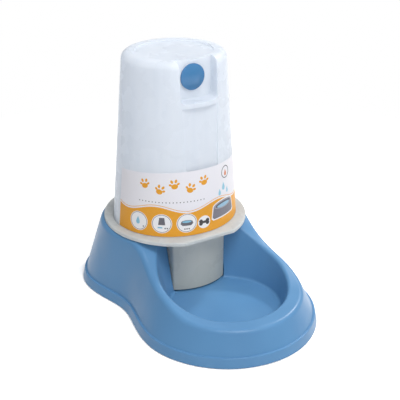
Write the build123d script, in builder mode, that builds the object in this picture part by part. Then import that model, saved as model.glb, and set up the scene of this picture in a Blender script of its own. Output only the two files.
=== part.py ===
# Gravity-fed water dispenser for pets: a moulded base with a round drinking bowl,
# an upturned tank with a neck that hangs in the bowl, and a stopper for filling.
#
# Frame: millimetres, +Z up, and the bowl faces -Y. The origin is on the floor, below
# the centre of the whole object's box.

from build123d import *
from math import atan, atan2, cos, hypot, pi, sin, sqrt, tan
import os

os.makedirs("parts", exist_ok=True)

# Fits between pieces
seat_gap = 0.3          # under the tank's flange, on the seat of the base
spigot_gap = 1.0        # round the spigot ring, in the well of the base
neck_gap = 1.5          # round the neck, in its niche
neck_fit = 0.1          # round the neck, in its hole in the tank's floor
stopper_gap = 0.3       # behind the stopper's cap and round its seal
shell_gap = 0.2         # beside the tank wall, in the groove of the flange
ring_gap = 0.1          # round the seal ring, in its groove

# Feet
skirt_foot_z = 1.2      # height of the skirt's lower edge over the floor
foot_radius = 9.0
foot_edge_fillet = 0.8
foot_neck_radius = 3.0
foot_head_radius = 4.2
foot_head_height = 2.0
foot_head_taper = 15.0  # degrees
shelf_z = 5.0
shelf_thickness = 2.5
shelf_margin = 4.0      # of the shelf round the foot
foot_gap = 0.1          # round the foot's neck, in its hole
foot_wall_gap = 3.0     # between the foot and the skirt
foot_front_angle = 40.0  # degrees from -Y, about the centre of the front arc
foot_rear_angle = 45.0  # degrees from +X, about the centre of the side arc

# Footprint of the base: front, waist and side arcs, and one arc across the back
front_centre_y = -70.2
front_radius = 132.3
waist_radius = 129.0
side_centre_x = 34.0
side_centre_y = 98.0
side_radius = 100.0
back_y = 202.5
front_spans, waist_spans, side_spans, back_spans = 4, 2, 3, 2  # that each arc is cut into

# Outline that the walls lean in to, at the height of the seat
top_front_y = -70.0
top_front_radius = 82.0
top_waist_radius = 380.0
top_side_x = 30.0
top_side_y = 78.0
top_side_radius = 80.0
top_back_y = 181.0

# Base walls
base_wall = 3.0
skirt_height = 15.0
skirt_draft = 3.0       # how far the skirt leans in over its height
skirt_step = 3.0        # ledge on top of the skirt
skirt_fillet = 1.5
shoulder_fillet = 8.0

# Top of the base seen from the side, as y and z, from the rim of the bowl to the seat
seat_z = 105.0
top_line = [(-215.0, 44.0), (-160.0, 46.5), (-120.0, 50.0), (-80.0, 60.0), (-40.0, 70.5),
            (-10.0, 85.5), (15.0, 100.5), (38.0, seat_z)]

# Bowl
bowl_centre_y = -70.0
bowl_floor_z = 16.5
bowl_floor_radius = 81.0
bowl_draft = 14.0       # degrees
rim_fillet = 4.5
bowl_floor_fillet = 5.0

# Tank
tank_centre_y = 70.0
tank_foot_x = 94.0      # semi-axes of the oval wall at its foot
tank_foot_y = 86.6
tank_top_x = 74.6       # and at the top, before its edge is rounded
tank_top_y = 70.6
tank_top_z = 360.0
tank_top_fillet = 11.0
tank_wall = 2.0
dish_margin = 18.0
dish_depth = 2.5

# Flange and floor of the tank
flange_x = 106.0
flange_y = 108.0
flange_flat = 99.8      # from the tank's axis to the flat edge above the neck
flange_thickness = 5.0
flange_fillet = 1.4
groove_depth = 2.6
groove_wall = 1.6       # rib between the groove and the tank's floor
gasket_height = 1.2
spigot_inset = 11.0     # from the flange's edge to the spigot
spigot_height = 5.0
spigot_wall = 2.2
spigot_front_y = 12.0   # the ring is left out in front of this, over the bowl
well_depth = 7.0

# Neck
neck_front_radius = 82.0
neck_depth = 20.0
neck_half_width = 44.0
neck_wall = 2.0
neck_bottom_z = 19.8
neck_corner = 4.0
inlet_height = 18.0     # slot in the back of the neck, whose top sets the water level
inlet_width = 24.0

# Filling pocket, and the flat panel below it
pocket_plane = 48.0     # forward of the tank's axis
pocket_half_width = 30.0
pocket_height = 57.0    # from its ledge to the tank's top
pocket_corner = 7.0
panel_depth = 6.0       # at the middle
panel_half_top = 29.0
panel_half_foot = 25.0
panel_margin = 6.0      # between the ledge and the panel
panel_foot_z = 190.0

# Stopper
stopper_drop = 26.5     # of its axis below the tank's top
stopper_radius = 18.6
stopper_edge = 2.6
stopper_rise = 7.5
plug_radius = 13.0
plug_length = 11.0
plug_wall = 2.2
seal_radius = 1.3       # of the ring's section
seal_proud = 0.9        # how far the ring stands out of the plug

# Label
label_film = 0.35
label_glue = 0.05       # between the film and the wall
label_margin = 0.8      # above the flange
label_top_z = 208.0

# Sizes that follow from these
flange_z = seat_z + seat_gap
flange_top_z = flange_z + flange_thickness
groove_z = flange_top_z - groove_depth
shell_foot_z = groove_z + gasket_height
taper = (tank_foot_y - tank_top_y) / (tank_top_z - shell_foot_z)
neck_back_radius = neck_front_radius - neck_depth
pocket_y = tank_centre_y - pocket_plane
pocket_ledge_z = tank_top_z - pocket_height
panel_top_z = pocket_ledge_z - panel_margin
stopper_z = tank_top_z - stopper_drop
hole_radius = plug_radius + seal_proud + stopper_gap
label_foot_z = flange_top_z + label_margin
upper_zone_z = (skirt_height + top_line[0][1]) / 2  # edges above this are round the top
over_cut = 10.0         # how far the bowl's tool passes the seat
reach = 260.0           # longer than any cut


def toward(centre, radius, target, side=1):
    """The point of a circle that lies toward a target, or away from it for side -1."""
    dx = target[0] - centre[0]
    dy = target[1] - centre[1]
    scale = side * radius / hypot(dx, dy)
    return (centre[0] + dx * scale, centre[1] + dy * scale)


def along_arc(centre, radius, start, end, count):
    """Points that divide an arc into count equal spans, from its start up to its end."""
    first = atan2(start[1] - centre[1], start[0] - centre[0])
    turn = atan2(end[1] - centre[1], end[0] - centre[0]) - first
    turn = (turn + pi) % (2 * pi) - pi
    angles = [first + turn * i / count for i in range(count)]
    return [(centre[0] + radius * cos(a), centre[1] + radius * sin(a)) for a in angles]


def hollow_centre(front, front_r, flank, flank_r, waist_r):
    """Centre of the hollow arc that touches the front and the side arcs."""
    near = front_r + waist_r
    far = flank_r + waist_r
    dx = flank[0] - front[0]
    dy = flank[1] - front[1]
    span = hypot(dx, dy)
    along = (near**2 - far**2 + span**2) / (2 * span)
    off = sqrt(near**2 - along**2)
    return (front[0] + (along * dx + off * dy) / span, front[1] + (along * dy - off * dx) / span)


def waisted_face(height, front_y, front_r, flank, flank_r, waist_r, back):
    """The waisted outline of the base as a face: four tangent arcs on each side."""
    front = (0.0, front_y)
    waist = hollow_centre(front, front_r, flank, flank_r, waist_r)
    k = back - flank_r
    rear = (0.0, (k**2 - flank[0] ** 2 - flank[1] ** 2) / (2 * (k - flank[1])))
    nose = (0.0, front_y - front_r)
    tail = (0.0, back)
    a = toward(front, front_r, waist)
    b = toward(flank, flank_r, waist)
    c = toward(flank, flank_r, rear, -1)
    half = (along_arc(front, front_r, nose, a, front_spans)
            + along_arc(waist, waist_r, a, b, waist_spans)
            + along_arc(flank, flank_r, b, c, side_spans)
            + along_arc(rear, back - rear[1], c, tail, back_spans) + [tail])
    other = [(-x, y) for x, y in half[-2:0:-1]]
    with BuildSketch(Plane.XY.offset(height)) as section:
        with BuildLine():
            Spline(*half, *other, periodic=True)
        make_face()
    return section.sketch


def footprint(height, inset):
    return waisted_face(height, front_centre_y, front_radius - inset,
                        (side_centre_x, side_centre_y), side_radius - inset,
                        waist_radius + inset, back_y - inset)


def top_outline(inset):
    return waisted_face(seat_z, top_front_y, top_front_radius - inset,
                        (top_side_x, top_side_y), top_side_radius - inset,
                        top_waist_radius + inset, top_back_y - inset)


def walls(inset):
    """The leaning side walls of the base, as a solid up to the seat."""
    ledge = skirt_draft + skirt_step
    return loft([footprint(skirt_height, ledge + inset), top_outline(inset)], ruled=True)


def skirt(inset, top_z):
    """The skirt under the walls, up to top_z."""
    lean = skirt_draft * (top_z - skirt_foot_z) / (skirt_height - skirt_foot_z)
    return loft([footprint(skirt_foot_z, inset), footprint(top_z, lean + inset)], ruled=True)


def below_top(drop):
    """Everything below the top line of the base, lowered by drop."""
    points = [(y, z - drop) for y, z in top_line]
    with BuildPart() as block:
        with BuildSketch(Plane.YZ):
            with BuildLine():
                top = Spline(*points, tangents=((1, 0), (1, 0)))
                Polyline(top @ 1, (reach, seat_z - drop), (reach, 0), (-reach, 0),
                         (-reach, points[0][1]), top @ 0)
            make_face()
        extrude(amount=reach, both=True)
    return block.part


def bowl_form(grow):
    """The bowl's inside, or that shape grown on all sides."""
    floor_z = bowl_floor_z - grow
    rise = seat_z + over_cut - floor_z
    slope = tan(bowl_draft * pi / 180)
    low_r = bowl_floor_radius + grow / cos(bowl_draft * pi / 180) - grow * slope
    with BuildPart() as form:
        with BuildSketch(Plane.XY.offset(floor_z)):
            with Locations((0, bowl_centre_y)):
                Circle(low_r)
        extrude(amount=rise, taper=-bowl_draft)
        fillet(form.edges().group_by(Axis.Z)[0], bowl_floor_fillet + grow)
    return form.part


def neck_face(height, grow):
    """The neck's section: a strip of the ring round the tank's axis."""
    with BuildSketch(Plane.XY.offset(height)) as section:
        with Locations((0, tank_centre_y)):
            Circle(neck_front_radius + grow)
            Circle(neck_back_radius - grow, mode=Mode.SUBTRACT)
        with Locations((0, tank_centre_y - neck_front_radius)):
            Rectangle(2 * (neck_half_width + grow), 2 * neck_front_radius,
                      mode=Mode.INTERSECT)
        fillet(section.vertices(), neck_corner + grow)
    return section.sketch


def flange_face(height, inset):
    """The tank's flange: an oval with a flat edge above the neck."""
    with BuildSketch(Plane.XY.offset(height)) as section:
        with Locations((0, tank_centre_y)):
            Ellipse(flange_x - inset, flange_y - inset)
            with Locations((0, reach - flange_flat + inset)):
                Rectangle(2 * reach, 2 * reach, mode=Mode.INTERSECT)
    return section.sketch


def tank_oval(height, inset):
    """The tank's wall at one height, moved inwards by inset."""
    share = (height - shell_foot_z) / (tank_top_z - shell_foot_z)
    with BuildSketch(Plane.XY.offset(height)) as section:
        with Locations((0, tank_centre_y)):
            Ellipse(tank_foot_x + (tank_top_x - tank_foot_x) * share - inset,
                    tank_foot_y + (tank_top_y - tank_foot_y) * share - inset)
    return section.sketch


def tank_form(inset):
    """The tank's outside, or the same shape moved inwards by inset."""
    top_z = tank_top_z - inset
    lean = atan(taper)
    with BuildPart() as form:
        loft([tank_oval(shell_foot_z, inset), tank_oval(top_z, inset)], ruled=True)
        fillet(form.faces().sort_by(Axis.Z)[-1].edges(), tank_top_fillet - inset)
        with BuildSketch(Plane.XY.offset(top_z)):
            with Locations((0, tank_centre_y)):
                Ellipse(tank_top_x - dish_margin + inset, tank_top_y - dish_margin + inset)
        extrude(amount=-dish_depth, mode=Mode.SUBTRACT)
        # Filling pocket, open at the top and the front
        with BuildSketch(Plane.XZ.offset(-(pocket_y + inset))) as pocket:
            with Locations((0, pocket_ledge_z - inset)):
                Rectangle(2 * (pocket_half_width + inset), reach, align=(Align.CENTER, Align.MIN))
            fillet(pocket.vertices().group_by(Axis.Z)[0], pocket_corner + inset)
        extrude(amount=reach, mode=Mode.SUBTRACT)
        # Flat panel that leans with the wall
        foot_y = tank_centre_y - tank_foot_y + taper * (panel_foot_z - shell_foot_z)
        surface = Plane(origin=(0, foot_y + panel_depth + inset, panel_foot_z - inset),
                        x_dir=(1, 0, 0), z_dir=(0, -cos(lean), sin(lean)))
        length = (panel_top_z - panel_foot_z + 2 * inset) / cos(lean)
        low = panel_half_foot + inset
        high = panel_half_top + inset
        with BuildSketch(surface):
            Polygon((-low, 0), (low, 0), (high, length), (-high, length), align=None)
        extrude(amount=reach, mode=Mode.SUBTRACT)
    return form.part


# Base: a shell that is open below, with a stepped skirt, a bowl, a niche for the neck
# and a seat with a shallow well for the tank
foot_inset = base_wall + foot_wall_gap + foot_radius
front_angle = foot_front_angle * pi / 180
rear_angle = foot_rear_angle * pi / 180
foot_front = ((front_radius - foot_inset) * sin(front_angle),
              front_centre_y - (front_radius - foot_inset) * cos(front_angle))
foot_rear = (side_centre_x + (side_radius - foot_inset) * cos(rear_angle),
             side_centre_y + (side_radius - foot_inset) * sin(rear_angle))
foot_places = [("front_left", -foot_front[0], foot_front[1]),
               ("front_right", foot_front[0], foot_front[1]),
               ("rear_left", -foot_rear[0], foot_rear[1]),
               ("rear_right", foot_rear[0], foot_rear[1])]
foot_centres = [(x, y) for _, x, y in foot_places]

with BuildPart() as body:
    add(walls(0))
    add(below_top(0), mode=Mode.INTERSECT)
    shoulder = body.edges().filter_by(lambda e: e.bounding_box().min.Z > upper_zone_z)
    fillet(shoulder, shoulder_fillet)
    add(bowl_form(0), mode=Mode.SUBTRACT)
    rim = body.edges(Select.LAST).filter_by(lambda e: e.bounding_box().min.Z > upper_zone_z)
    fillet(rim, rim_fillet)

with BuildPart() as skirt_ring:
    add(skirt(0, skirt_height))
    fillet(skirt_ring.edges().group_by(Axis.Z)[-1], skirt_fillet)

with BuildPart() as cavity:
    add(walls(base_wall))
    add(below_top(base_wall), mode=Mode.INTERSECT)
    add(skirt(base_wall, skirt_height - base_wall))
    add(footprint(skirt_height, skirt_draft + skirt_step + base_wall))
    extrude(amount=-base_wall)
    add(footprint(skirt_foot_z, base_wall))
    extrude(amount=-base_wall)
    add(bowl_form(base_wall), mode=Mode.SUBTRACT)
    add(neck_face(bowl_floor_z - base_wall, neck_gap + base_wall))
    extrude(amount=seat_z, mode=Mode.SUBTRACT)
    add(flange_face(seat_z - well_depth - base_wall, spigot_inset - spigot_gap - base_wall))
    extrude(amount=seat_z, mode=Mode.SUBTRACT)

with BuildPart() as base:
    add(body.part)
    add(skirt_ring.part)
    add(bowl_form(0), mode=Mode.SUBTRACT)
    add(cavity.part, mode=Mode.SUBTRACT)
    add(neck_face(bowl_floor_z, neck_gap))
    extrude(amount=seat_z, mode=Mode.SUBTRACT)
    add(flange_face(seat_z - well_depth, spigot_inset - spigot_gap))
    extrude(amount=seat_z, mode=Mode.SUBTRACT)
    # Shelves for the feet
    with BuildSketch(Plane.XY.offset(shelf_z)):
        with Locations(*foot_centres):
            Circle(foot_radius + shelf_margin)
    extrude(amount=shelf_thickness)
    with BuildSketch(Plane.XY.offset(shelf_z)):
        with Locations(*foot_centres):
            Circle(foot_neck_radius + foot_gap)
    extrude(amount=shelf_thickness, mode=Mode.SUBTRACT)

base.part.label = "base"
export_step(base.part, "parts/base.step")

# Anti-slip feet: pads pressed through the shelves inside the skirt
for name, x, y in foot_places:
    with BuildPart() as foot:
        with BuildSketch(Plane.XY):
            with Locations((x, y)):
                Circle(foot_radius)
        extrude(amount=shelf_z)
        fillet(foot.edges().group_by(Axis.Z)[0], foot_edge_fillet)
        with BuildSketch(Plane.XY.offset(shelf_z)):
            with Locations((x, y)):
                Circle(foot_neck_radius)
        extrude(amount=shelf_thickness)
        with BuildSketch(Plane.XY.offset(shelf_z + shelf_thickness)):
            with Locations((x, y)):
                Circle(foot_head_radius)
        extrude(amount=foot_head_height, taper=foot_head_taper)
    foot.part.label = "foot_" + name
    export_step(foot.part, "parts/foot_" + name + ".step")

# Tank: an open-bottomed cup with a filling pocket, a flat panel and a dished top
with BuildPart() as tank:
    add(tank_form(0))
    add(tank_form(tank_wall), mode=Mode.SUBTRACT)
    with BuildSketch(Plane.XZ.offset(-(pocket_y + 2 * tank_wall))):
        with Locations((0, stopper_z)):
            Circle(hole_radius)
    extrude(amount=4 * tank_wall, mode=Mode.SUBTRACT)
tank.part.label = "tank"
export_step(tank.part, "parts/tank.step")

# Tank floor: the flange that rests on the base, a groove for the tank's foot, a spigot
# ring and a hole for the neck
with BuildPart() as tank_floor:
    add(flange_face(flange_z, 0))
    extrude(amount=flange_thickness)
    fillet(tank_floor.edges().group_by(Axis.Z)[-1], flange_fillet)
    with BuildSketch(Plane.XY.offset(groove_z)):
        add(tank_oval(groove_z, -shell_gap))
        add(tank_oval(groove_z, tank_wall + shell_gap), mode=Mode.SUBTRACT)
    extrude(amount=flange_thickness, mode=Mode.SUBTRACT)
    with BuildSketch(Plane.XY.offset(groove_z)):
        add(tank_oval(groove_z, tank_wall + shell_gap + groove_wall))
    extrude(amount=flange_thickness, mode=Mode.SUBTRACT)
    with BuildSketch(Plane.XY.offset(flange_z)):
        add(flange_face(flange_z, spigot_inset))
        add(flange_face(flange_z, spigot_inset + spigot_wall), mode=Mode.SUBTRACT)
        with Locations((0, spigot_front_y)):
            Rectangle(reach, reach, align=(Align.CENTER, Align.MIN), mode=Mode.INTERSECT)
    extrude(amount=-spigot_height)
    add(neck_face(flange_z, neck_fit))
    extrude(amount=flange_thickness, mode=Mode.SUBTRACT)
tank_floor.part.label = "tank_floor"
export_step(tank_floor.part, "parts/tank_floor.step")

# Neck: a hollow strip set into the tank's floor, with a slot in its back
with BuildPart() as neck:
    add(neck_face(neck_bottom_z, 0))
    extrude(amount=groove_z - neck_bottom_z)
    add(neck_face(neck_bottom_z, -neck_wall))
    extrude(amount=seat_z, mode=Mode.SUBTRACT)
    with BuildSketch(Plane.XZ.offset(-tank_centre_y)):
        with Locations((0, neck_bottom_z)):
            Rectangle(inlet_width, inlet_height, align=(Align.CENTER, Align.MIN))
    extrude(amount=neck_front_radius - neck_depth / 2, mode=Mode.SUBTRACT)
neck.part.label = "neck"
export_step(neck.part, "parts/neck.step")

# Gasket in the groove, under the tank's foot
with BuildPart() as tank_gasket:
    with BuildSketch(Plane.XY.offset(groove_z)):
        add(tank_oval(groove_z, -shell_gap / 2))
        add(tank_oval(groove_z, tank_wall + shell_gap / 2), mode=Mode.SUBTRACT)
    extrude(amount=gasket_height)
tank_gasket.part.label = "tank_gasket"
export_step(tank_gasket.part, "parts/tank_gasket.step")

# Stopper: a domed cap with a hollow plug, turned about an axis along Y
cap_back = pocket_y - stopper_gap
plug_end = cap_back + plug_length
seal_y = cap_back + plug_length / 2
seal_centre = plug_radius + seal_proud - seal_radius
turning_axis = Axis((0, 0, stopper_z), (0, 1, 0))

with BuildPart() as stopper:
    with BuildSketch(Plane.YZ) as half_section:
        with BuildLine():
            edge_y = cap_back - stopper_edge
            dome_y = cap_back - stopper_rise
            top_r = stopper_z + stopper_radius
            plug_r = stopper_z + plug_radius
            bore_r = plug_r - plug_wall
            dome = TangentArc((dome_y, stopper_z), (edge_y, top_r), tangent=(0, 1))
            Polyline(dome @ 1, (cap_back, top_r), (cap_back, plug_r), (plug_end, plug_r),
                     (plug_end, bore_r), (cap_back, bore_r), (cap_back, stopper_z), dome @ 0)
        make_face()
        groove_half = seal_radius + ring_gap
        with Locations((seal_y, stopper_z + seal_centre)):
            Rectangle(2 * groove_half, 2 * groove_half, mode=Mode.SUBTRACT)
            Rectangle(2 * groove_half, 4 * groove_half, align=(Align.CENTER, Align.MIN),
                      mode=Mode.SUBTRACT)
    revolve(axis=turning_axis)
stopper.part.label = "stopper"
export_step(stopper.part, "parts/stopper.step")

with BuildPart() as stopper_seal:
    with BuildSketch(Plane.YZ):
        with Locations((seal_y, stopper_z + seal_centre)):
            Circle(seal_radius)
    revolve(axis=turning_axis)
stopper_seal.part.label = "stopper_seal"
export_step(stopper_seal.part, "parts/stopper_seal.step")

# Label: a film round the front half of the tank
with BuildPart() as label_wrap:
    film_face = label_glue + label_film
    loft([tank_oval(label_foot_z, -film_face), tank_oval(label_top_z, -film_face)], ruled=True)
    loft([tank_oval(label_foot_z, -label_glue), tank_oval(label_top_z, -label_glue)],
         ruled=True, mode=Mode.SUBTRACT)
    with Locations((0, tank_centre_y, 0)):
        Box(reach, reach, 2 * reach, align=(Align.CENTER, Align.MIN, Align.CENTER),
            mode=Mode.SUBTRACT)
label_wrap.part.label = "label"
export_step(label_wrap.part, "parts/label.step")
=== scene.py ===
"""Looks of the pet water dispenser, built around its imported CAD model.

Everything is in metres, in the frame of the CAD: +Z up, the bowl faces -Y.
The label's artwork is laid out in millimetres on the unrolled label: s runs round the
tank from the middle of its front, to the right as seen from there, and z is the height.
"""

from math import cos, pi, radians, sin

import bmesh
import bpy
from mathutils import Matrix, Vector


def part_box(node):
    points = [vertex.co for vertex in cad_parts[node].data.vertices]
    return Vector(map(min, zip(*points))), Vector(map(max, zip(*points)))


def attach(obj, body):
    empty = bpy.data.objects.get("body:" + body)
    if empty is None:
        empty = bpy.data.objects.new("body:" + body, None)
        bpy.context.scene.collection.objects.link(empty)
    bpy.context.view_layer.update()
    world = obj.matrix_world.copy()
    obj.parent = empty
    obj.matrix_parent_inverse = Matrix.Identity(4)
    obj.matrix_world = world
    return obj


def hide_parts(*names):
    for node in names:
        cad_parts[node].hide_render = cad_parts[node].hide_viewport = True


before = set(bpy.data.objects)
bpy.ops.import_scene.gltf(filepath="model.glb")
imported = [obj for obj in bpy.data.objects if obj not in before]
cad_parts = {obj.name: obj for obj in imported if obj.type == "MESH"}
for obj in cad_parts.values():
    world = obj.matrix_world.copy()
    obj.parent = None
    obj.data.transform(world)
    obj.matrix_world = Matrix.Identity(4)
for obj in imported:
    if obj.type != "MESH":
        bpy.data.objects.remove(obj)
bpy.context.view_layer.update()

MM = 0.001

# Camera, fitted to the outlines in the photograph
VIEW_AZIMUTH = radians(-32.07)
VIEW_ELEVATION = radians(25.18)
VIEW_ROLL = radians(0.42)
VIEW_DISTANCE = 1299.3 * MM
VIEW_TARGET = Vector((12.18, 18.24, 145.36)) * MM
FOCAL_PIXELS = 890.25
FRAME_PIXELS = 400
SENSOR_WIDTH = 36.0
CLIP_NEAR, CLIP_FAR = 0.05, 50

# Lamps: place, point aimed at, diameter, and power in watts
KEY_LAMP = ((1.25, 0.35, 1.3), (0, 0, 0.08), 0.2, 10)
TOP_LAMP = ((0.0, -0.9, 1.85), (0, 0, 0.1), 1.0, 21)
FILL_LAMP = ((-0.3, -1.8, 0.9), (0, 0, 0.14), 1.4, 5)
WARM_WHITE = (1, 0.98, 0.95)
SKY_COLOUR = (0.95, 0.97, 1.0, 1)
SKY_LIGHT = 0.5

# Floor: its tone where it lights the object and where it is seen, and the distances from
# the object between which it turns plain white
FLOOR_REACH = 6.0
FLOOR_LIGHTING = (0.62, 0.62, 0.62, 1)
FLOOR_SEEN = (1.42, 1.39, 1.36, 1)
FLOOR_SHADED, FLOOR_PLAIN = 0.45, 0.9

# Semi-axes of the tank's oval wall at its foot, and at its top before the edge is rounded
TANK_LOW, TANK_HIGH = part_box("tank")
TANK_CENTRE_Y = (TANK_LOW[1] + TANK_HIGH[1]) / 2
TANK_FOOT = ((TANK_HIGH[0] - TANK_LOW[0]) / 2, (TANK_HIGH[1] - TANK_LOW[1]) / 2)
TANK_TOP = (74.6 * MM, 70.6 * MM)
NECK_FOOT_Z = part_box("neck")[0][2]
NECK_TOP_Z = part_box("neck")[1][2]

# Label
LABEL_LOW, LABEL_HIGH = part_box("label")
LABEL_GLUE = 0.05 * MM
LABEL_FILM = 0.35 * MM
LABEL_HALF_ANGLE = radians(89.5)
LABEL_DIP = 8 * MM      # how much lower its top edge runs at its ends
LABEL_COLUMNS, LABEL_ROWS = 96, 24
LABEL_RADIUS = 88.0     # of the unrolled label, for s
INK = 0.03 * MM         # thickness of one printed layer
STRIP = 2.5             # width of the strips that bend round the tank

# Printed motifs
BAND_TOP = 151.0
BAND_WAVE = 5.0
BAND_WAVELENGTH = 96.0
BAND_STEPS = 64
STRIPE_GAP, STRIPE_WIDTH = 2.2, 0.9
STEP_PLACES = (-97.0, -62.0, -27.0)
STEP_Z = 131.0
STEP_RADIUS = 14.5
STEP_LINE = (1.0, 1.7)  # how far the line round a step lies inside its edge
COUNT_DOT = 1.1         # radius of the dots that number the steps
BOWL_S, BOWL_Z = 36.0, 136.0
BOWL_HALF, BOWL_DEPTH = 21.0, 18.0
BOWL_TILT = 0.3         # height of the bowl's opening as a share of its width
BOWL_FLARE = 1.12       # width of the bowl's foot as a share of its opening's
BOWL_CORNER = 3.0
BOWL_HALO = 1.8
WATER_DROP = 1.1        # of the water below the bowl's rim
DROPS = ((-8, 165, 3.8), (1, 172, 4.6), (10, 164, 3.4))  # beside the bowl's middle, z, size
DROP_TIP = 1.6          # power that draws a drop to its tip
DROP_HEIGHT = 1.35
BADGE_S, BADGE_Z = 43.0, 192.0
BADGE_LINE = (9.5, 8.2)
BADGE_DROP = 3.6
BONE_S, BONE_Z = -1.5, 128.0
BONE_HALF, BONE_THICK = 5.2, 1.9
BONE_KNOB = 1.5         # as a share of the bone's thickness
BONE_DISC = 9.6
PAW_PLACES = ((-88.0, 186.0), (-66.0, 179.0), (-44.0, 187.0), (-22.0, 180.0), (0.0, 188.0))
PAW_SIZE = 10.5
PAW_TURNS = (0.15, -0.35)  # of every other paw, in radians
PAD_SHAPE = (0.46, 0.36)   # as shares of the paw's size, as are the toes'
TOES = ((-62, 0.62, 0.17), (-22, 0.78, 0.2), (22, 0.78, 0.2), (62, 0.62, 0.17))
TOE_SHAPE = (1.3, 0.9)
DOT_START, DOT_PITCH, DOT_COUNT = -96, 5.0, 20
DOT_Z, DOT_RADIUS = 163, 0.8

# Inks, as they show on screen
AMBER = (231, 158, 6)
WHITE = (240, 239, 241)
GREY = (118, 116, 126)
RIM_GREY = (160, 158, 167)
INSIDE_GREY = (84, 83, 95)
ICON_GREY = (96, 95, 104)
BLACK = (52, 49, 54)
ORANGE = (214, 120, 60)
BOWL_WATER = (150, 190, 214)
DROP_BLUE = (146, 200, 222)
ICON_BLUE = (130, 188, 214)


def linear(r, g, b):
    """A colour given as it shows on screen, 0 to 255, for a shader socket."""
    def channel(v):
        v /= 255
        return v / 12.92 if v <= 0.04045 else ((v + 0.055) / 1.055) ** 2.4
    return (channel(r), channel(g), channel(b), 1.0)


# Camera, floor and light

def aim(azimuth, elevation, roll):
    """Rotation of a camera that looks from the given direction, and that direction."""
    back = Vector((sin(azimuth) * cos(elevation), -cos(azimuth) * cos(elevation), sin(elevation)))
    right = Vector((cos(azimuth), sin(azimuth), 0))
    up = back.cross(right)
    tilted_right = right * cos(roll) + up * sin(roll)
    tilted_up = up * cos(roll) - right * sin(roll)
    return Matrix((tilted_right, tilted_up, back)).transposed(), back


def make_camera():
    data = bpy.data.cameras.new("camera")
    data.sensor_width = SENSOR_WIDTH
    data.lens = FOCAL_PIXELS / FRAME_PIXELS * SENSOR_WIDTH
    data.clip_start = CLIP_NEAR
    data.clip_end = CLIP_FAR
    camera = bpy.data.objects.new("camera", data)
    rotation, back = aim(VIEW_AZIMUTH, VIEW_ELEVATION, VIEW_ROLL)
    camera.matrix_world = Matrix.Translation(VIEW_TARGET + back * VIEW_DISTANCE) @ rotation.to_4x4()
    bpy.context.collection.objects.link(camera)
    bpy.context.scene.camera = camera


def make_lamp(name, place, aim_at, size, power, colour=(1, 1, 1), mirrored=True):
    """A round lamp. One that isn't mirrored lights the object but shows in no reflection."""
    data = bpy.data.lights.new(name, "AREA")
    data.shape = "DISK"
    data.size = size
    data.energy = power
    data.color = colour
    lamp = bpy.data.objects.new(name, data)
    lamp.location = place
    lamp.rotation_euler = (Vector(aim_at) - Vector(place)).to_track_quat("-Z", "Y").to_euler()
    lamp.visible_glossy = mirrored
    bpy.context.collection.objects.link(lamp)


def background_rays(nodes, links, kinds):
    """1 for the kinds of ray that show the background, such as camera rays."""
    path = nodes.new("ShaderNodeLightPath")
    value = path.outputs[kinds[0]]
    for kind in kinds[1:]:
        either = nodes.new("ShaderNodeMath")
        either.operation = "MAXIMUM"
        links.new(value, either.inputs[0])
        links.new(path.outputs[kind], either.inputs[1])
        value = either.outputs[0]
    return value


def make_world():
    world = bpy.data.worlds.new("studio")
    bpy.context.scene.world = world
    world.use_nodes = True
    nodes, links = world.node_tree.nodes, world.node_tree.links
    nodes.clear()
    seen = nodes.new("ShaderNodeBackground")
    seen.inputs["Color"].default_value = (1, 1, 1, 1)
    seen.inputs["Strength"].default_value = 1.0
    light = nodes.new("ShaderNodeBackground")
    light.inputs["Color"].default_value = SKY_COLOUR
    light.inputs["Strength"].default_value = SKY_LIGHT
    mix = nodes.new("ShaderNodeMixShader")
    out = nodes.new("ShaderNodeOutputWorld")
    rays = background_rays(nodes, links, ("Is Camera Ray", "Is Transmission Ray"))
    links.new(rays, mix.inputs["Fac"])
    links.new(light.outputs[0], mix.inputs[1])
    links.new(seen.outputs[0], mix.inputs[2])
    links.new(mix.outputs[0], out.inputs["Surface"])


def make_floor():
    """White floor: it shows brighter than it lights, so that only close shadow is seen,
    and plain white from some way off."""
    far = FLOOR_REACH
    mesh = bpy.data.meshes.new("floor")
    mesh.from_pydata([(-far, -far, 0), (far, -far, 0), (far, far, 0), (-far, far, 0)],
                     [], [(0, 1, 2, 3)])
    floor = bpy.data.objects.new("floor", mesh)
    bpy.context.collection.objects.link(floor)
    material, nodes, links = new_material("floor")
    nodes.clear()
    matt = nodes.new("ShaderNodeBsdfDiffuse")
    tone = nodes.new("ShaderNodeMix")
    tone.data_type = "RGBA"
    tone.inputs["A"].default_value = FLOOR_LIGHTING
    tone.inputs["B"].default_value = FLOOR_SEEN
    out = nodes.new("ShaderNodeOutputMaterial")
    rays = background_rays(nodes, links, ("Is Camera Ray", "Is Glossy Ray", "Is Transmission Ray"))
    links.new(rays, tone.inputs["Factor"])
    links.new(tone.outputs["Result"], matt.inputs["Color"])
    place = nodes.new("ShaderNodeTexCoord")
    distance = nodes.new("ShaderNodeVectorMath")
    distance.operation = "LENGTH"
    links.new(place.outputs["Object"], distance.inputs[0])
    away = add_ramp(nodes, links, distance.outputs["Value"], 0, 1,
                    FLOOR_SHADED, FLOOR_PLAIN)
    share = nodes.new("ShaderNodeMath")
    share.operation = "MINIMUM"
    links.new(away, share.inputs[0])
    links.new(background_rays(nodes, links, ("Is Camera Ray",)), share.inputs[1])
    white = nodes.new("ShaderNodeEmission")
    white.inputs["Strength"].default_value = 1.0
    mix = nodes.new("ShaderNodeMixShader")
    links.new(share.outputs[0], mix.inputs["Fac"])
    links.new(matt.outputs[0], mix.inputs[1])
    links.new(white.outputs[0], mix.inputs[2])
    links.new(mix.outputs[0], out.inputs["Surface"])
    mesh.materials.append(material)


# Materials

def new_material(name):
    material = bpy.data.materials.new(name)
    material.use_nodes = True
    return material, material.node_tree.nodes, material.node_tree.links


def shader_of(nodes):
    return next(n for n in nodes if n.type == "BSDF_PRINCIPLED")


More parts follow.
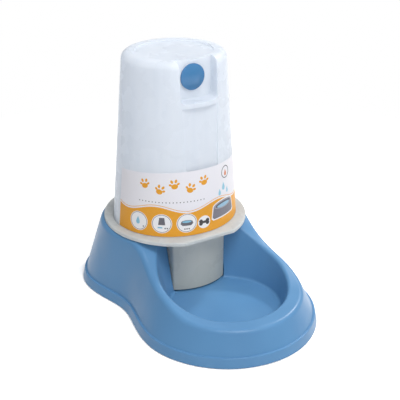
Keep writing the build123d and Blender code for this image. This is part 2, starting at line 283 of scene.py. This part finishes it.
def add_noise(nodes, links, scale, detail=3.0, stretch=(1, 1, 1)):
    """Noise in the object's own coordinates, with scale features to the metre."""
    place = nodes.new("ShaderNodeTexCoord")
    mapping = nodes.new("ShaderNodeMapping")
    mapping.inputs["Scale"].default_value = stretch
    noise = nodes.new("ShaderNodeTexNoise")
    noise.inputs["Scale"].default_value = scale
    noise.inputs["Detail"].default_value = detail
    links.new(place.outputs["Object"], mapping.inputs["Vector"])
    links.new(mapping.outputs["Vector"], noise.inputs["Vector"])
    return noise.outputs["Fac"]


def add_height(nodes, links):
    """Height above the floor at rest."""
    place = nodes.new("ShaderNodeTexCoord")
    split = nodes.new("ShaderNodeSeparateXYZ")
    links.new(place.outputs["Object"], split.inputs[0])
    return split.outputs["Z"]


def add_ramp(nodes, links, value, low, high, start=0.3, end=0.7):
    """low to high as value goes from start to end, which suit noise if they aren't given."""
    ramp = nodes.new("ShaderNodeMapRange")
    ramp.inputs["From Min"].default_value = start
    ramp.inputs["From Max"].default_value = end
    ramp.inputs["To Min"].default_value = low
    ramp.inputs["To Max"].default_value = high
    links.new(value, ramp.inputs["Value"])
    return ramp.outputs["Result"]


def add_mix(nodes, links, factor, first, second):
    """Mix of two colours, each a constant or a socket."""
    mix = nodes.new("ShaderNodeMix")
    mix.data_type = "RGBA"
    for socket, colour in (("A", first), ("B", second)):
        if isinstance(colour, tuple):
            mix.inputs[socket].default_value = colour
        else:
            links.new(colour, mix.inputs[socket])
    links.new(factor, mix.inputs["Factor"])
    return mix.outputs["Result"]


def add_bump(nodes, links, height, distance):
    """Surface relief of a depth in metres."""
    bump = nodes.new("ShaderNodeBump")
    bump.inputs["Distance"].default_value = distance
    links.new(height, bump.inputs["Height"])
    return bump.outputs["Normal"]


def moulded_plastic(name, dark, light, rough, peel, gloss):
    """Injection-moulded plastic: faint flow marks, orange peel and uneven gloss."""
    material, nodes, links = new_material(name)
    shader = shader_of(nodes)
    flow = add_noise(nodes, links, scale=9, detail=2.0, stretch=(1, 1, 0.35))
    links.new(add_mix(nodes, links, add_ramp(nodes, links, flow, 0, 1), dark, light),
              shader.inputs["Base Color"])
    patch = add_noise(nodes, links, scale=40, detail=4.0)
    links.new(add_ramp(nodes, links, patch, *rough), shader.inputs["Roughness"])
    grain = add_noise(nodes, links, scale=700, detail=2.0)
    links.new(add_bump(nodes, links, grain, peel), shader.inputs["Normal"])
    shader.inputs["Specular IOR Level"].default_value = gloss
    return material


def milky_plastic(name, colour, shade, through, clear, foot=None):
    """Natural polypropylene: milky, with faint upright flow streaks.

    through is the share of light that it scatters through and clear the share that passes
    straight. foot is a tint that comes in towards a height: the tint, that height, and the
    height where it starts.
    """
    material, nodes, links = new_material(name)
    shader = shader_of(nodes)
    streaks = add_noise(nodes, links, scale=70, stretch=(1, 1, 0.1))
    tone = add_mix(nodes, links, add_ramp(nodes, links, streaks, 0, 1), colour, shade)
    if foot:
        tint, full, start = foot
        height = add_height(nodes, links)
        tone = add_mix(nodes, links, add_ramp(nodes, links, height, 1, 0, full, start), tone, tint)
    links.new(tone, shader.inputs["Base Color"])
    cloud = add_noise(nodes, links, scale=30, detail=4.0)
    links.new(add_ramp(nodes, links, cloud, low=0.22, high=0.34), shader.inputs["Roughness"])
    grain = add_noise(nodes, links, scale=520, detail=2.0)
    links.new(add_bump(nodes, links, grain, distance=0.02 * MM), shader.inputs["Normal"])
    scatter = nodes.new("ShaderNodeBsdfTranslucent")
    links.new(tone, scatter.inputs["Color"])
    milk = nodes.new("ShaderNodeMixShader")
    milk.inputs["Fac"].default_value = through
    links.new(shader.outputs[0], milk.inputs[1])
    links.new(scatter.outputs[0], milk.inputs[2])
    open_air = nodes.new("ShaderNodeBsdfTransparent")
    film = nodes.new("ShaderNodeMixShader")
    film.inputs["Fac"].default_value = clear
    links.new(milk.outputs[0], film.inputs[1])
    links.new(open_air.outputs[0], film.inputs[2])
    out = next(n for n in nodes if n.type == "OUTPUT_MATERIAL")
    links.new(film.outputs[0], out.inputs["Surface"])
    return material


def soft_rubber(name, colour):
    """Matt rubber with a fine grain, about a third lighter than its colour at most."""
    brightest = 1.35
    material, nodes, links = new_material(name)
    shader = shader_of(nodes)
    grain = add_noise(nodes, links, scale=900)
    lighter = tuple(min(1.0, c * brightest) for c in colour[:3]) + (1.0,)
    links.new(add_mix(nodes, links, add_ramp(nodes, links, grain, 0, 1), colour, lighter),
              shader.inputs["Base Color"])
    links.new(add_bump(nodes, links, grain, distance=0.1 * MM), shader.inputs["Normal"])
    shader.inputs["Roughness"].default_value = 0.75
    return material


def print_ink(name, colour):
    """Printed film: even colour with a faint screen grain, under a satin varnish."""
    material, nodes, links = new_material(name)
    shader = shader_of(nodes)
    fade = 0.06
    grain = add_noise(nodes, links, scale=1400, detail=2.0)
    paler = tuple(c + (1 - c) * fade for c in colour[:3]) + (1.0,)
    links.new(add_mix(nodes, links, add_ramp(nodes, links, grain, 0, 1), colour, paler),
              shader.inputs["Base Color"])
    cloud = add_noise(nodes, links, scale=90)
    links.new(add_ramp(nodes, links, cloud, low=0.42, high=0.54), shader.inputs["Roughness"])
    shader.inputs["Specular IOR Level"].default_value = 0.3
    return material


def give(node, material):
    """Puts a material on a CAD node."""
    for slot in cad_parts[node].material_slots:
        slot.material = material


# Label: a film round the tank, and printed shapes that follow it

def wall_point(angle, height, lift):
    """A point on the tank's wall: angle from the front, to the right seen from there."""
    share = (height - TANK_LOW[2]) / (TANK_HIGH[2] - TANK_LOW[2])
    a = TANK_FOOT[0] + (TANK_TOP[0] - TANK_FOOT[0]) * share + lift
    b = TANK_FOOT[1] + (TANK_TOP[1] - TANK_FOOT[1]) * share + lift
    return Vector((a * sin(angle), TANK_CENTRE_Y - b * cos(angle), height))


def wrapped_mesh(name, points, faces, low, high):
    """Closed sheet between two lifts off the wall, from faces on (angle, height) points."""
    mesh = bpy.data.meshes.new(name)
    count = len(points)
    spots = [wall_point(angle, height, low) for angle, height in points]
    spots += [wall_point(angle, height, high) for angle, height in points]
    skin = [tuple(reversed(face)) for face in faces]
    skin += [tuple(i + count for i in face) for face in faces]
    sides = {(face[i - 1], face[i]) for face in faces for i in range(len(face))}
    skin += [(a, b, b + count, a + count) for a, b in sorted(sides) if (b, a) not in sides]
    mesh.from_pydata(spots, [], skin)
    mesh.shade_smooth()
    mesh.set_sharp_from_angle(angle=radians(40))
    return mesh


def make_film():
    """The label's film, whose top edge runs lower towards its ends."""
    columns, rows = LABEL_COLUMNS, LABEL_ROWS
    points = []
    for j in range(rows + 1):
        for i in range(columns + 1):
            turn = 2 * i / columns - 1
            top = LABEL_HIGH[2] - LABEL_DIP * turn * turn
            points.append((LABEL_HALF_ANGLE * turn, LABEL_LOW[2] + (top - LABEL_LOW[2]) * j / rows))
    faces = [(k, k + 1, k + columns + 2, k + columns + 1)
             for j in range(rows) for k in range(j * (columns + 1), j * (columns + 1) + columns)]
    mesh = wrapped_mesh("label_film", points, faces, LABEL_GLUE, LABEL_GLUE + LABEL_FILM)
    mesh.materials.append(print_ink("label_pale", linear(238, 236, 241)))
    film = bpy.data.objects.new("label_film", mesh)
    bpy.context.collection.objects.link(film)
    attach(film, "tank")
    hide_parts("label")


def make_print(name, level, colour, outlines):
    """One printed layer: flat outlines cut into strips and bent round the tank.

    level counts the layers up from the film, so that a print lies on those it crosses.
    """
    bm = bmesh.new()
    for outline in outlines:
        area = sum(a[0] * b[1] - b[0] * a[1] for a, b in zip(outline, outline[1:] + outline[:1]))
        loop = outline if area > 0 else outline[::-1]
        bm.faces.new([bm.verts.new((s, z, 0)) for s, z in loop])
    bmesh.ops.triangulate(bm, faces=bm.faces[:])
    left = min(v.co.x for v in bm.verts)
    right = max(v.co.x for v in bm.verts)
    for i in range(1, int((right - left) / STRIP) + 1):
        bmesh.ops.bisect_plane(bm, geom=bm.verts[:] + bm.edges[:] + bm.faces[:],
                               plane_co=(left + i * STRIP, 0, 0), plane_no=(1, 0, 0), dist=1e-4)
    bm.verts.index_update()
    points = [(v.co.x / LABEL_RADIUS, v.co.y * MM) for v in bm.verts]
    faces = [tuple(v.index for v in face.verts) for face in bm.faces]
    bm.free()
    low = LABEL_GLUE + LABEL_FILM + (level - 1) * INK
    mesh = wrapped_mesh(name, points, faces, low, low + INK)
    mesh.materials.append(print_ink(name, linear(*colour)))
    layer = bpy.data.objects.new(name, mesh)
    bpy.context.collection.objects.link(layer)
    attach(layer, "tank")


def oval(s, z, a, b, turn=0.0, count=28):
    """Outline of an oval, turned by an angle in radians."""
    outline = []
    for i in range(count):
        t = 2 * pi * i / count
        x, y = a * cos(t), b * sin(t)
        outline.append((s + x * cos(turn) - y * sin(turn), z + x * sin(turn) + y * cos(turn)))
    return outline


def disc(s, z, radius, count):
    return oval(s, z, radius, radius, count=count)


def ring(s, z, outer, inner, count=32):
    """A ring as a row of small quadrilaterals."""
    angles = [2 * pi * i / count for i in range(count + 1)]
    return [[(s + r * cos(t), z + r * sin(t))
             for r, t in ((inner, a), (outer, a), (outer, b), (inner, b))]
            for a, b in zip(angles, angles[1:])]


def drop(s, z, size, count=28):
    """A water drop whose round end is at (s, z), with its tip above."""
    outline = []
    for i in range(count):
        t = 2 * pi * i / count
        width = sin(t) * sin(t / 2) ** DROP_TIP
        outline.append((s + size * width, z + size * DROP_HEIGHT * cos(t)))
    return outline


def paw(s, z, size, turn):
    """A paw print: one pad and four toes."""
    parts = [oval(s, z, PAD_SHAPE[0] * size, PAD_SHAPE[1] * size, turn)]
    for angle, reach, length in TOES:
        t = radians(90 - angle) + turn
        parts.append(oval(s + reach * size * cos(t), z + reach * size * sin(t),
                          length * TOE_SHAPE[0] * size, length * TOE_SHAPE[1] * size, t))
    return parts


def bone(s, z, half, thick):
    """A bone: a bar with two knobs at each end."""
    parts = [[(s - half, z - thick), (s + half, z - thick), (s + half, z + thick),
              (s - half, z + thick)]]
    for x in (-half, half):
        for y in (-thick, thick):
            parts.append(disc(s + x, z + y, BONE_KNOB * thick, 20))
    return parts


def wave(s):
    """Height of the band's top edge."""
    return BAND_TOP + BAND_WAVE * sin(2 * pi * s / BAND_WAVELENGTH)


def band_stations():
    end = LABEL_HALF_ANGLE * LABEL_RADIUS
    return [-end + 2 * end * i / BAND_STEPS for i in range(BAND_STEPS + 1)]


def band():
    """The band along the label's foot, with a waved top edge."""
    foot = LABEL_LOW[2] / MM
    stations = band_stations()
    crest = [(s, wave(s)) for s in reversed(stations)]
    return [(stations[0], foot), (stations[-1], foot)] + crest


def crest_line(gap, width):
    """A thin stripe that follows the band's top edge above it."""
    rows = [(s, wave(s) + gap) for s in band_stations()]
    return [[(s, z), (t, y), (t, y + width), (s, z + width)]
            for (s, z), (t, y) in zip(rows, rows[1:])]


def bowl_shape(s, z, half, depth, grow=0.0):
    """A drinking bowl seen from the side and a little above."""
    outline = oval(s, z + depth / 2, half + grow, BOWL_TILT * half + grow, count=40)
    upper = [p for p in outline if p[1] >= z + depth / 2]
    foot = half * BOWL_FLARE + grow
    low = z - depth / 2 - grow
    corner = BOWL_CORNER
    return upper + [(s - foot, low + corner), (s - foot + corner, low), (s + foot - corner, low),
                    (s + foot, low + corner)]


def make_discs():
    """White places that other motifs are printed on."""
    discs = [disc(s, STEP_Z, STEP_RADIUS, 40) for s in STEP_PLACES]
    halo = bowl_shape(BOWL_S, BOWL_Z, BOWL_HALF, BOWL_DEPTH, BOWL_HALO)
    make_print("print_white", 2, WHITE, discs + [halo, disc(BONE_S, BONE_Z, BONE_DISC, 36)])


def make_paws():
    paws = [shape for i, (s, z) in enumerate(PAW_PLACES)
            for shape in paw(s, z, PAW_SIZE, PAW_TURNS[i % 2])]
    make_print("print_paws", 1, AMBER, paws)


def make_bowl_picture():
    """A bowl of water, with drops above it."""
    rim_z = BOWL_Z + BOWL_DEPTH / 2

    def across(z, width, height, count):
        """An oval in the bowl's opening, sized as shares of the bowl's half width."""
        return [oval(BOWL_S, z, width * BOWL_HALF, height * BOWL_HALF, count=count)]

    make_print("print_bowl", 3, GREY, [bowl_shape(BOWL_S, BOWL_Z, BOWL_HALF, BOWL_DEPTH)])
    make_print("print_bowl_rim", 4, RIM_GREY, across(rim_z, 0.96, 0.27, 40))
    make_print("print_bowl_inside", 5, INSIDE_GREY, across(rim_z, 0.84, 0.2, 40))
    make_print("print_bowl_water", 6, BOWL_WATER, across(rim_z - WATER_DROP, 0.68, 0.14, 36))
    make_print("print_drops", 1, DROP_BLUE, [drop(BOWL_S + s, z, size) for s, z, size in DROPS])


def make_steps():
    """Three plain icons, a drop, a tank and a bowl, with one, two and three dots."""
    first, second, third = STEP_PLACES
    outer, inner = (STEP_RADIUS - line for line in STEP_LINE)
    lines = [shape for s in STEP_PLACES for shape in ring(s, STEP_Z, outer, inner)]
    lines += ring(BADGE_S, BADGE_Z, *BADGE_LINE)
    tank = [(second - 3.6, STEP_Z + 9), (second + 3.6, STEP_Z + 9), (second + 5, STEP_Z - 2),
            (second - 5, STEP_Z - 2)]
    lines += [tank, bowl_shape(third, STEP_Z - 1, 8, 6)]
    dots = [(first + 8, -7), (second + 5, -7), (second + 8, -7)]
    dots += [(third + x, -9) for x in (-3, 0, 3)]
    lines += [disc(s, STEP_Z + below, COUNT_DOT, 12) for s, below in dots]
    make_print("print_icons", 3, ICON_GREY, lines)
    tray = [(second - 5.6, STEP_Z - 7), (second + 1, STEP_Z - 7), (second + 1, STEP_Z - 5),
            (second - 5.6, STEP_Z - 5)]
    water = [drop(first - 1, STEP_Z + 1, 4.4), oval(third, STEP_Z + 2, 6.6, 1.7, count=24), tray]
    make_print("print_water", 4, ICON_BLUE, water)


def make_artwork():
    make_print("print_band", 1, AMBER, [band()] + crest_line(STRIPE_GAP, STRIPE_WIDTH))
    make_discs()
    make_paws()
    make_bowl_picture()
    make_steps()
    dots = [disc(DOT_START + DOT_PITCH * i, DOT_Z, DOT_RADIUS, 10) for i in range(DOT_COUNT)]
    make_print("print_dark", 3, BLACK, bone(BONE_S, BONE_Z, BONE_HALF, BONE_THICK) + dots)
    make_print("print_orange", 3, ORANGE, [drop(BADGE_S, BADGE_Z - 1, BADGE_DROP)])


def dress_parts():
    give("base", moulded_plastic("base_blue", linear(88, 137, 181), linear(97, 147, 191),
                                 rough=(0.28, 0.4), peel=0.03 * MM, gloss=0.3))
    give("tank", milky_plastic("tank_milky", linear(244, 247, 251), linear(239, 243, 248),
                               through=0.5, clear=0.1))
    give("tank_floor", milky_plastic("flange_milky", linear(230, 232, 231), linear(223, 225, 224),
                                     through=0.42, clear=0.0))
    give("neck", milky_plastic("neck_milky", linear(236, 237, 234), linear(229, 230, 226),
                               through=0.4, clear=0.0,
                               foot=(linear(224, 223, 212), NECK_FOOT_Z, NECK_TOP_Z)))
    give("stopper", moulded_plastic("stopper_blue", linear(66, 122, 170), linear(73, 130, 178),
                                    rough=(0.16, 0.24), peel=0.02 * MM, gloss=0.4))
    pale_rubber = soft_rubber("pale_rubber", linear(190, 190, 188))
    give("tank_gasket", pale_rubber)
    give("stopper_seal", pale_rubber)
    foot_rubber = soft_rubber("foot_rubber", linear(40, 40, 42))
    for corner in ("front_left", "front_right", "rear_left", "rear_right"):
        give("foot_" + corner, foot_rubber)


make_camera()
make_world()
make_floor()
make_lamp("key", *KEY_LAMP, colour=WARM_WHITE)
make_lamp("top", *TOP_LAMP)
make_lamp("fill", *FILL_LAMP, mirrored=False)
dress_parts()
make_film()
make_artwork()

bpy.context.scene.view_settings.view_transform = "Standard"
